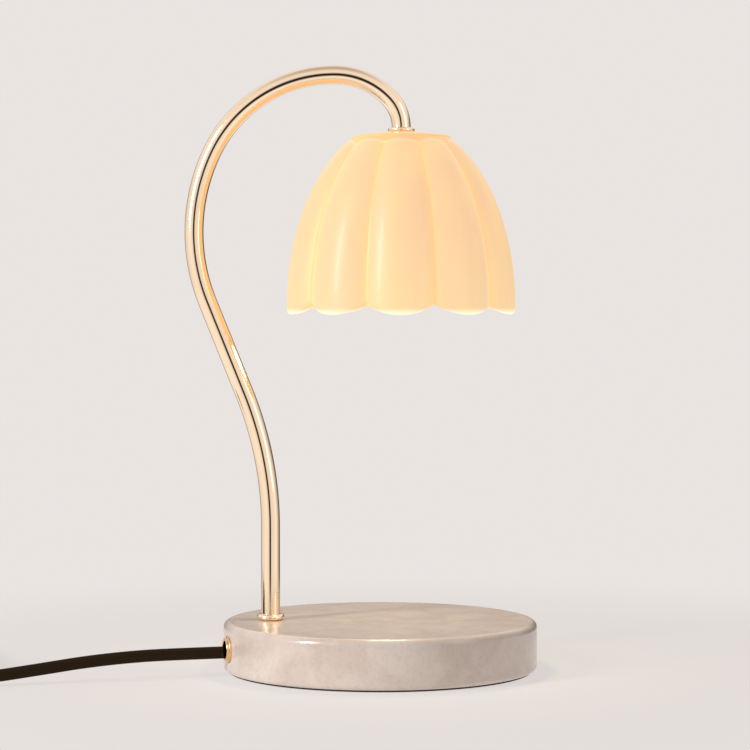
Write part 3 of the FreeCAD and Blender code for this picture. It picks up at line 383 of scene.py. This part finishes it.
# The bulb's front glass: pebbled, lit from behind, with a hot middle
lensLook = {
    "axis": (0.010021, 0.0, 0.180),
    "glass": (0.30, 0.27, 0.22),
    "pebble": (1.0, 0.86, 0.60),
    "gap": (0.70, 0.46, 0.22),
    "middle": (1.35, 1.25, 1.10),
    "edge": (0.72, 0.66, 0.58),
    "cellScale": 230.0,
    "reach": 0.024,
    "glow": 0.85,
    "rough": 0.14,
    "pebbleBump": 0.7,
    "pebbleDepth": 0.0008,
}


def lensMaterial():
    look = lensLook
    material, tree, shader = newMaterial("bulbLensLook")
    place = addNode(tree, "ShaderNodeTexCoord").outputs["Object"]
    cells = addNode(tree, "ShaderNodeTexVoronoi", voronoi_dimensions="2D", Scale=look["cellScale"])
    tree.links.new(place, cells.inputs["Vector"])
    cell = cells.outputs["Distance"]
    pebbles = colourRamp(tree, cell, [(0.15, look["pebble"]), (0.75, look["gap"])])
    away = addNode(tree, "ShaderNodeVectorMath", operation="DISTANCE")
    away.inputs[1].default_value = look["axis"]
    tree.links.new(place, away.inputs[0])
    share = addRange(tree, away.outputs["Value"], 0.0, look["reach"])
    beam = colourRamp(tree, share, [(0.1, look["middle"]), (0.9, look["edge"])])
    tree.links.new(multiplyColours(tree, pebbles, beam), shader.inputs["Emission Color"])
    addBump(tree, shader, cell, look["pebbleBump"], look["pebbleDepth"], invert=True)
    setValues(shader, {
        "Emission Strength": look["glow"],
        "Base Color": (*look["glass"], 1.0),
        "Roughness": look["rough"],
    })
    return material


# Marble: pale warm ground with clouds, thin soft grey veins and dark specks, polished
marbleLook = {
    "ground": (0.67, 0.555, 0.48),
    "cloud": (0.76, 0.65, 0.58),
    "vein": (0.44, 0.37, 0.32),
    "speck": (0.40, 0.32, 0.26),
    "cloudScale": 48.0,
    "cloudSwirl": 0.8,
    "veinScale": 11.0,
    "veinSwirl": 1.6,
    "veinShare": 0.13,
    "speckScale": 560.0,
    "speckShare": 0.22,
    "rough": 0.22,
    "coat": 0.22,
    "coatRough": 0.05,
}


def marbleMaterial():
    look = marbleLook
    material, tree, shader = newMaterial("marbleLook")
    place = addNode(tree, "ShaderNodeTexCoord").outputs["Object"]
    none = (0, 0, 0)
    cloud = addNoise(tree, place, look["cloudScale"], 6.0, look["cloudSwirl"])
    ground = colourRamp(tree, cloud, [(0.35, look["ground"]), (0.65, look["cloud"])])
    vein = addNoise(tree, place, look["veinScale"], 8.0, look["veinSwirl"])
    line = colourRamp(tree, vein, [(0.44, none), (0.5, (look["veinShare"],) * 3), (0.56, none)])
    veined = coverColour(tree, line, ground, look["vein"])
    speck = addNoise(tree, place, look["speckScale"], 4.0)
    dots = colourRamp(tree, speck, [(0.5, none), (0.75, (look["speckShare"],) * 3)])
    tree.links.new(coverColour(tree, dots, veined, look["speck"]), shader.inputs["Base Color"])
    setValues(shader, {
        "Roughness": look["rough"],
        "Coat Weight": look["coat"],
        "Coat Roughness": look["coatRough"],
    })
    return material


# Opal glass, whose light from the bulb inside is painted as emission: a painted glow that is hottest
# at the lower edge, yellower in the grooves and more orange on the crown, with a painted highlight as
# a pale line round the petals' tips, and faint streaks down the glass
shadeLook = {
    "skin": (0.30, 0.20, 0.11),
    "topGlow": (1.0, 0.66, 0.37),
    "lowGlow": (1.0, 0.71, 0.39),
    "rimGlow": (1.3, 1.2, 0.95),
    "rimShare": 0.035,
    "glow": 0.80,
    "grooveTint": (1.08, 1.02, 0.82),
    "tipHighlight": (1.02, 1.05, 1.16),
    "crownTint": (0.995, 0.895, 0.745),
    "streakStretch": (1.0, 1.0, 0.10),
    "streakScale": 70.0,
    "streakLow": (0.98, 0.955, 0.97),
    "streakHigh": (1.02, 1.035, 0.93),
    "rough": 0.40,
    "shine": 0.3,
    "coat": 0.040,
    "coatRough": 0.10,
}


def shadeMaterial():
    look = shadeLook
    material, tree, shader = newMaterial("shadeLook")
    white = (1, 1, 1)

    def byAttribute(name, stops):
        share = addNode(tree, "ShaderNodeAttribute", attribute_name=name)
        return colourRamp(tree, share.outputs["Fac"], stops)

    # Painted glow: brightest at the lower edge and dimmer towards the top, yellower in the grooves
    glow = byAttribute("rise", [
        (0.0, look["rimGlow"]), (look["rimShare"], look["lowGlow"]), (0.5, look["topGlow"]),
    ])
    groove = byAttribute("groove", [(0.35, white), (1.0, look["grooveTint"])])
    # Painted highlight: a pale line round the petals' tips, and above it a more orange painted glow
    # on the crown
    crown = byAttribute("tip", [
        (0.0, white), (0.40, look["tipHighlight"]), (0.52, look["tipHighlight"]), (0.68, look["crownTint"]),
    ])
    place = addNode(tree, "ShaderNodeTexCoord").outputs["Object"]
    stretch = addNode(tree, "ShaderNodeMapping", Scale=look["streakStretch"])
    tree.links.new(place, stretch.inputs["Vector"])
    streak = addNoise(tree, stretch.outputs["Vector"], look["streakScale"], 3.0)
    tint = colourRamp(tree, streak, [(0.35, look["streakLow"]), (0.65, look["streakHigh"])])
    colour = glow
    for layer in (groove, crown, tint):
        colour = multiplyColours(tree, colour, layer)
    tree.links.new(colour, shader.inputs["Emission Color"])
    setValues(shader, {
        "Emission Strength": look["glow"],
        "Base Color": (*look["skin"], 1.0),
        "Roughness": look["rough"],
        "Specular IOR Level": look["shine"],
        "Coat Weight": look["coat"],
        "Coat Roughness": look["coatRough"],
    })
    return material


print("materials made")


# Shade: petals that swell as an ellipse, under a short cone with a nearly flat top
shadeShape = {
    "axis": 0.010021,
    "top": 0.25692,
    "drop": 0.0865,
    "radius": 0.0557,
    "arch": 0.088,
    "widest": 0.0042,
    "petals": 10,
    "first": -91.0,
    "groove": 0.92,
    "wall": 0.0028,
    "crown": 0.0036,
    "rim": 0.0222,
    "corner": 0.0011,
    "flare": 1.12,
    "flareDepth": 0.0036,
    "tip": 0.0043,
    "tipDrop": 0.0016,
    "tipSlope": 1.9,
    "tipBlend": 0.0030,
    "band": 0.0075,
    "seam": 0.0003,
    "seamFill": 0.35,
    "innerRim": 0.0208,
    "innerRound": 0.0032,
    "innerStep": 0.0010,
    "sink": 0.0016,
    "seat": 0.0075,
    "hole": 0.00475,
    "scallop": 0.0054,
    "innerScallop": 0.0041,
    "halfChord": 0.0172,
    "perPetal": 28,
    "sideRows": 70,
    "bandRows": 30,
    "cornerRows": 6,
    "topRows": 12,
    "underRows": 7,
    "roundRows": 8,
}


# Distance from the axis to a petal at a share of the way from its middle to a groove. At each
# height the petal is an arc of a circle through its middle, which lies on the ellipse, and its
# two grooves, which lie at a fixed part of that.
def petalReach(level, share, inset):
    s = shadeShape
    swell = (level - (s["top"] - s["drop"]) - s["widest"]) / s["arch"]
    middle = s["radius"] * np.sqrt(np.maximum(0.0, 1 - swell**2))
    groove = middle * s["groove"] - inset
    middle = np.maximum(middle - inset, 1e-4)
    half = math.pi / s["petals"]
    centre = (middle**2 - groove**2) / (2 * (middle - groove * math.cos(half)))
    radius = middle - centre
    angle = share * half
    inside = np.maximum(radius**2 - (centre * np.sin(angle)) ** 2, 0.0)
    return centre * np.cos(angle) + np.sqrt(inside)


# Height of the lower edge: an arc of a circle under each petal that rises to both grooves
def edgeLevel(share, rise):
    s = shadeShape
    radius = (s["halfChord"] ** 2 + rise**2) / (2 * rise)
    return s["top"] - s["drop"] + radius - np.sqrt(radius**2 - (share * s["halfChord"]) ** 2)


# Height at which a petal ends: a parabola that is highest at its middle
def tipLevel(share):
    s = shadeShape
    return s["top"] - s["tip"] - s["tipDrop"] * share**2


# Outside of the shade: the further out of the petals, which fall back above their tips, and the
# crown's cone, with the seam between them filled a little
def outerReach(level, share):
    s = shadeShape
    petal = petalReach(level, share, 0.0)
    petal = petal - s["tipSlope"] * np.maximum(0.0, level - tipLevel(share))
    below = np.clip(s["top"] - s["sink"] - level, 0.0, s["flareDepth"])
    cone = s["rim"] + below * s["flare"]
    fill = s["seam"] * np.exp(-np.abs(petal - cone) / s["seam"]) * s["seamFill"]
    return np.maximum(petal, cone) + fill


# Shares of the way from one end to the other, as a column of rows
def rowShares(count, first=0):
    return (np.arange(first, count + 1) / count)[:, None]


# The shade's section at every angle, as rows of reach from the axis, height and tip value: up the
# outside, round the corner, in along the top, out along the underside, round the inner corner,
# down the inside and half round the lower edge
def shadeSection(share):
    s = shadeShape
    edge = edgeLevel(share, s["scallop"]) + s["wall"] / 2
    innerEdge = edgeLevel(share, s["innerScallop"]) + s["wall"] / 2
    shoulder = s["top"] - s["sink"] - s["corner"]
    under = s["top"] - s["crown"]
    ceiling = under - s["innerRound"] - s["innerStep"]
    parts = []

    def addRows(reach, level, tip=0.0):
        parts.append(np.stack(np.broadcast_arrays(reach, level, tip, share)[:3]))

    level = edge + (shoulder - s["band"] - edge) * rowShares(s["sideRows"])
    addRows(outerReach(level, share), level)
    level = shoulder - s["band"] * (1 - rowShares(s["bandRows"], 1))
    tip = np.clip(0.5 + (level - tipLevel(share)) / s["tipBlend"], 0.0, 1.0)
    addRows(outerReach(level, share), level, tip)
    rim = outerReach(shoulder, share)
    turn = math.pi / 2 * rowShares(s["cornerRows"], 1)
    addRows(rim - s["corner"] * (1 - np.cos(turn)), shoulder + s["corner"] * np.sin(turn), 1.0)
    rim = rim - s["corner"]
    reach = rim + (s["hole"] - rim) * rowShares(s["topRows"], 1)
    fall = np.maximum(0.0, (reach - s["seat"]) / (rim - s["seat"]))
    addRows(reach, s["top"] - s["sink"] * fall**1.5, 1.0)
    addRows(s["hole"] + (s["innerRim"] - s["hole"]) * rowShares(s["underRows"]), under)
    turn = math.pi / 2 * (1 - rowShares(s["roundRows"], 1))
    reach = s["innerRim"] + s["innerRound"] * np.cos(turn)
    addRows(reach, under - s["innerRound"] * (1 - np.sin(turn)))
    level = ceiling + (innerEdge - ceiling) * rowShares(s["sideRows"])
    addRows(petalReach(level, share, s["wall"]), level)
    lip = petalReach(edge, share, 0.0)
    innerLip = petalReach(innerEdge, share, s["wall"])
    turn = math.pi * rowShares(s["roundRows"], 1)[:-1]
    swing = (1 + np.cos(turn)) / 2
    level = edge + (innerEdge - edge) * swing - s["wall"] / 2 * np.sin(turn)
    addRows(lip + (innerLip - lip) * swing, level)
    return np.concatenate(parts, axis=1)


def setAttribute(piece, name, values):
    attribute = piece.data.attributes.new(name, "FLOAT", "POINT")
    attribute.data.foreach_set("value", values.ravel().astype(np.float32))


def makeShade():
    s = shadeShape
    column = np.arange(s["petals"] * s["perPetal"])
    share = column % s["perPetal"] / s["perPetal"] * 2 - 1
    angle = math.radians(s["first"]) + (column / s["perPetal"] - 0.5) * 2 * math.pi / s["petals"]
    reach, level, tip = shadeSection(share)
    points = np.stack([s["axis"] + reach * np.cos(angle), reach * np.sin(angle), level], axis=-1)
    piece = smoothPiece("shadeLook", points, gridFaces(*level.shape, loop=True))
    setAttribute(piece, "rise", (level - (s["top"] - s["drop"])) / s["drop"])
    setAttribute(piece, "tip", tip)
    setAttribute(piece, "groove", np.broadcast_to(np.abs(share) ** 3, level.shape))
    piece.data.materials.append(shadeMaterial())
    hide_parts("glass_shade")


makeShade()
print("shade made")


# Neck: the same straights and bends as the solid, in millimetres and degrees
neckShape = {
    "start": (-52.5, 9.4),
    "runs": [
        (59.4,), (170.4, 21.9), (47.2,), (89.1, -47.1), (64.5, -65.6), (36.0, -46.3), (19.6, -42.9),
        (17.0,),
    ],
    "radius": 4.5,
    "bore": 3.5,
    "sides": 48,
    "step": 1.8,
    "leastSteps": 4,
    "end": 243.12,
}


# The neck's middle line as rows of x, z and heading. A straight goes on along its heading, and a
# bend turns its heading evenly about a centre that lies its radius to the side.
def neckLine():
    n = neckShape
    x, z = n["start"]
    heading = math.pi / 2
    rows = [np.array([[x, z, heading]])]
    for run in n["runs"]:
        if len(run) == 1:
            count = int(run[0] / n["step"] / 2)
            length = run[0] * np.arange(1, count + 1) / count
            turn = np.full(count, heading)
            xs = x + length * math.cos(heading)
            zs = z + length * math.sin(heading)
        else:
            radius, bend = run[0], math.radians(run[1])
            count = max(n["leastSteps"], int(radius * abs(bend) / n["step"]))
            turn = heading + bend * np.arange(1, count + 1) / count
            side = math.copysign(radius, bend)
            xs = x + side * (np.sin(turn) - math.sin(heading))
            zs = z - side * (np.cos(turn) - math.cos(heading))
            heading += bend
        rows.append(np.stack([xs, zs, turn], axis=1))
        x, z = xs[-1], zs[-1]
    line = np.concatenate(rows)
    line[-1, 1] = n["end"]
    return line


# A circle carried along the line, square to its heading
def tubeWall(line, radius):
    x, z, heading = line.T[:, :, None]
    turn = 2 * math.pi * np.arange(neckShape["sides"]) / neckShape["sides"]
    out = radius * np.cos(turn)
    sideways = np.broadcast_to(radius * np.sin(turn), (len(line), len(turn)))
    wall = np.stack([x + out * np.sin(heading), sideways, z - out * np.cos(heading)], axis=-1)
    return wall / 1000


def makeNeck():
    line = neckLine()
    outside = tubeWall(line, neckShape["radius"])
    inside = tubeWall(line, neckShape["bore"])
    points = np.concatenate([outside, inside[::-1]])
    piece = smoothPiece("neckLook", points, gridFaces(*points.shape[:2], loop=True))
    piece.data.materials.append(plainMaterials["gold"])
    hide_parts("neck_tube")


makeNeck()
print("neck made")


# Every other node keeps its solid's own mesh and takes the finish of its slot
slots = {
    "foam": ["base_pad"],
    "zinc": [
        "anchor_plate", "lock_washer", "base_nut", "shade_cap", "shade_nut", "bracket_nut",
        "socket_bracket", "bracket_screws", "dimmer_screws", "dimmer_shaft",
    ],
    "gold": ["foot_collar", "shade_collar"],
    "brass": ["cord_grommet"],
    "gasket": ["shade_gasket"],
    "ceramic": ["lamp_holder", "bulb_base"],
    "contact": ["holder_contacts", "plug_blades"],
    "pin": ["bulb_pins"],
    "reflector": ["bulb_reflector"],
    "capsule": ["bulb_capsule"],
    "wire": ["lead_wires"],
    "splice": ["splice_caps", "cord_stop"],
    "cord": ["inner_cord", "dimmer_relief_in", "dimmer_relief_out", "plug_sleeve"],
    "housing": ["dimmer_lower", "dimmer_upper", "dimmer_pot", "dimmer_dial", "plug_body"],
    "board": ["dimmer_board"],
}


def finishNode(name, material):
    mesh = nodes[name].data
    mesh.materials.clear()
    mesh.materials.append(material)
    mesh.polygons.foreach_set("material_index", np.zeros(len(mesh.polygons), np.int32))


for slotName, members in slots.items():
    for member in members:
        finishNode(member, plainMaterials[slotName])
finishNode("marble_base", marbleMaterial())
finishNode("bulb_lens", lensMaterial())
for cordPiece in (leadCord, mainsCord):
    cordPiece.data.materials.append(plainMaterials["cord"])
print("finishes set")


# Light: a white studio with a few dark bands that show as lines in the metal. The bands go once
# round the room from behind the lamp, with the camera's side at 0.5. The heights go from straight
# down to straight up and take over where a ray is steep.
lightLook = {
    "background": (0.813, 0.776, 0.752),
    "roomStrength": 0.39,
    "bands": [
        (0.00, 0.32), (0.06, 0.06), (0.12, 0.60), (0.20, 0.90), (0.38, 1.05), (0.455, 0.85),
        (0.480, 0.01), (0.515, 0.02), (0.535, 0.90), (0.62, 0.92), (0.70, 1.10), (0.80, 0.60),
        (0.88, 0.08), (0.96, 0.12), (1.00, 0.32),
    ],
    "heights": [
        (0.00, 0.90), (0.30, 1.10), (0.47, 1.00), (0.495, 0.02), (0.52, 0.02), (0.55, 1.00),
        (0.68, 1.00), (0.78, 0.95), (0.90, 0.90), (1.00, 0.50),
    ],
    "steepFrom": 0.15,
    "steepTo": 0.45,
    "aim": (0.0, 0.0, 0.12),
    "keyPower": 18.5,
    "keySize": (0.22, 0.8),
    "keyPlace": (-1.3, -0.9, 0.70),
    "fillPower": 1.0,
    "fillPlace": (1.0, -0.6, 0.5),
    "bulbPower": 0.145,
    "bulbSize": 0.044,
    "bulbPlace": (0.010021, 0.0, 0.1785),
    "bulbAim": (0.010021, 0.0, 0.02),
    "warm": (1.0, 0.74, 0.45),
}


def addMath(tree, operation, first, second=None):
    node = addNode(tree, "ShaderNodeMath", operation=operation)
    tree.links.new(first, node.inputs[0])
    if isinstance(second, float):
        node.inputs[1].default_value = second
    elif second is not None:
        tree.links.new(second, node.inputs[1])
    return node.outputs["Value"]


def mixShaders(tree, factor, first, second):
    mix = addNode(tree, "ShaderNodeMixShader")
    tree.links.new(factor, mix.inputs["Fac"])
    tree.links.new(first, mix.inputs[1])
    tree.links.new(second, mix.inputs[2])
    return mix.outputs["Shader"]


# The room lights the lamp plainly. Glossy rays see its bands, and the camera sees plain colour.
def makeWorld():
    look = lightLook
    world = bpy.data.worlds.new("studio")
    bpy.context.scene.world = world
    world.use_nodes = True
    tree = world.node_tree
    tree.nodes.clear()
    path = addNode(tree, "ShaderNodeLightPath")
    place = addNode(tree, "ShaderNodeTexCoord")
    parts = addNode(tree, "ShaderNodeSeparateXYZ")
    tree.links.new(place.outputs["Generated"], parts.inputs["Vector"])
    backwards = addMath(tree, "MULTIPLY", parts.outputs["Y"], -1.0)
    turn = addMath(tree, "ARCTAN2", parts.outputs["X"], backwards)
    around = addRange(tree, turn, -math.pi, math.pi)
    bands = colourRamp(tree, around, [(p, (v, v, v)) for p, v in look["bands"]])
    upright = addRange(tree, parts.outputs["Z"], -1.0, 1.0)
    heights = colourRamp(tree, upright, [(p, (v, v, v)) for p, v in look["heights"]])
    steep = addMath(tree, "ABSOLUTE", parts.outputs["Z"])
    walls = addNode(tree, "ShaderNodeMix", data_type="RGBA")
    share = addRange(tree, steep, look["steepFrom"], look["steepTo"])
    tree.links.new(share, walls.inputs["Factor"])
    tree.links.new(bands, walls.inputs["A"])
    tree.links.new(heights, walls.inputs["B"])
    colour = (*look["background"], 1.0)
    room = addNode(tree, "ShaderNodeBackground", Color=colour, Strength=look["roomStrength"])
    mirror = addNode(tree, "ShaderNodeBackground", Strength=1.0)
    tree.links.new(walls.outputs["Result"], mirror.inputs["Color"])
    seen = addNode(tree, "ShaderNodeBackground", Color=colour, Strength=1.0)
    glossyRay, cameraRay = path.outputs["Is Glossy Ray"], path.outputs["Is Camera Ray"]
    glossy = mixShaders(tree, glossyRay, room.outputs["Background"], mirror.outputs["Background"])
    final = mixShaders(tree, cameraRay, glossy, seen.outputs["Background"])
    output = addNode(tree, "ShaderNodeOutputWorld")
    tree.links.new(final, output.inputs["Surface"])


# An area light: a rectangle if its size has two numbers, and else a disc
def areaLight(name, place, target, power, size, colour=(1.0, 1.0, 1.0)):
    data = bpy.data.lights.new(name, "AREA")
    data.energy = power
    data.color = colour
    if isinstance(size, tuple):
        data.shape = "RECTANGLE"
        data.size, data.size_y = size
    else:
        data.shape = "DISK"
        data.size = size
    lamp = bpy.data.objects.new(name, data)
    bpy.context.scene.collection.objects.link(lamp)
    lamp.location = place
    lamp.rotation_euler = aimFrom(place, target)
    return lamp


# Floor: pale, takes a soft shadow, and fades into the background all round
floorLook = {
    "reach": 0.44,
    "fadeFrom": 0.13,
    "level": -0.0002,
    "sides": 96,
    "colour": (0.81, 0.775, 0.752),
    "glow": 0.74,
    "albedo": 0.30,
    "rough": 0.9,
}


# The floor is clear from below and beyond its reach
def floorMaterial():
    look = floorLook
    material, tree, shader = newMaterial("floorLook")
    place = addNode(tree, "ShaderNodeTexCoord").outputs["Object"]
    distance = addNode(tree, "ShaderNodeVectorMath", operation="LENGTH")
    tree.links.new(place, distance.inputs[0])
    away = distance.outputs["Value"]
    fade = addRange(tree, away, look["fadeFrom"], look["reach"], interpolation_type="SMOOTHSTEP")
    facing = addNode(tree, "ShaderNodeNewGeometry")
    hidden = addMath(tree, "MAXIMUM", fade, facing.outputs["Backfacing"])
    setValues(shader, {
        "Base Color": (*(c * look["albedo"] for c in look["colour"]), 1.0),
        "Roughness": look["rough"],
        "Specular IOR Level": 0.0,
        "Emission Color": (*look["colour"], 1.0),
        "Emission Strength": look["glow"],
    })
    through = addNode(tree, "ShaderNodeBsdfTransparent")
    surface = mixShaders(tree, hidden, shader.outputs["BSDF"], through.outputs["BSDF"])
    tree.links.new(surface, tree.nodes["Material Output"].inputs["Surface"])
    return material


# A disc: a ring of points round a middle one
def makeFloor():
    look = floorLook
    index = np.arange(look["sides"])
    turn = 2 * math.pi * index / look["sides"]
    ring = np.stack([np.cos(turn), np.sin(turn)], axis=1) * look["reach"]
    flat = np.concatenate([[(0.0, 0.0)], ring])
    points = np.column_stack([flat, np.full(len(flat), look["level"])])
    faces = np.column_stack([0 * index, index + 1, np.roll(index, -1) + 1]).tolist()
    floor = newPiece("floor", points, faces)
    floor.data.materials.append(floorMaterial())


makeWorld()
makeFloor()
for side in ("key", "fill"):
    place, power = lightLook[side + "Place"], lightLook[side + "Power"]
    areaLight(side, place, lightLook["aim"], power, lightLook["keySize"])
bulbLight = areaLight(
    "bulbLight", lightLook["bulbPlace"], lightLook["bulbAim"], lightLook["bulbPower"],
    lightLook["bulbSize"], lightLook["warm"],
)
bulbLight.visible_camera = False
bpy.context.scene.view_settings.view_transform = "Standard"
print("lights made")
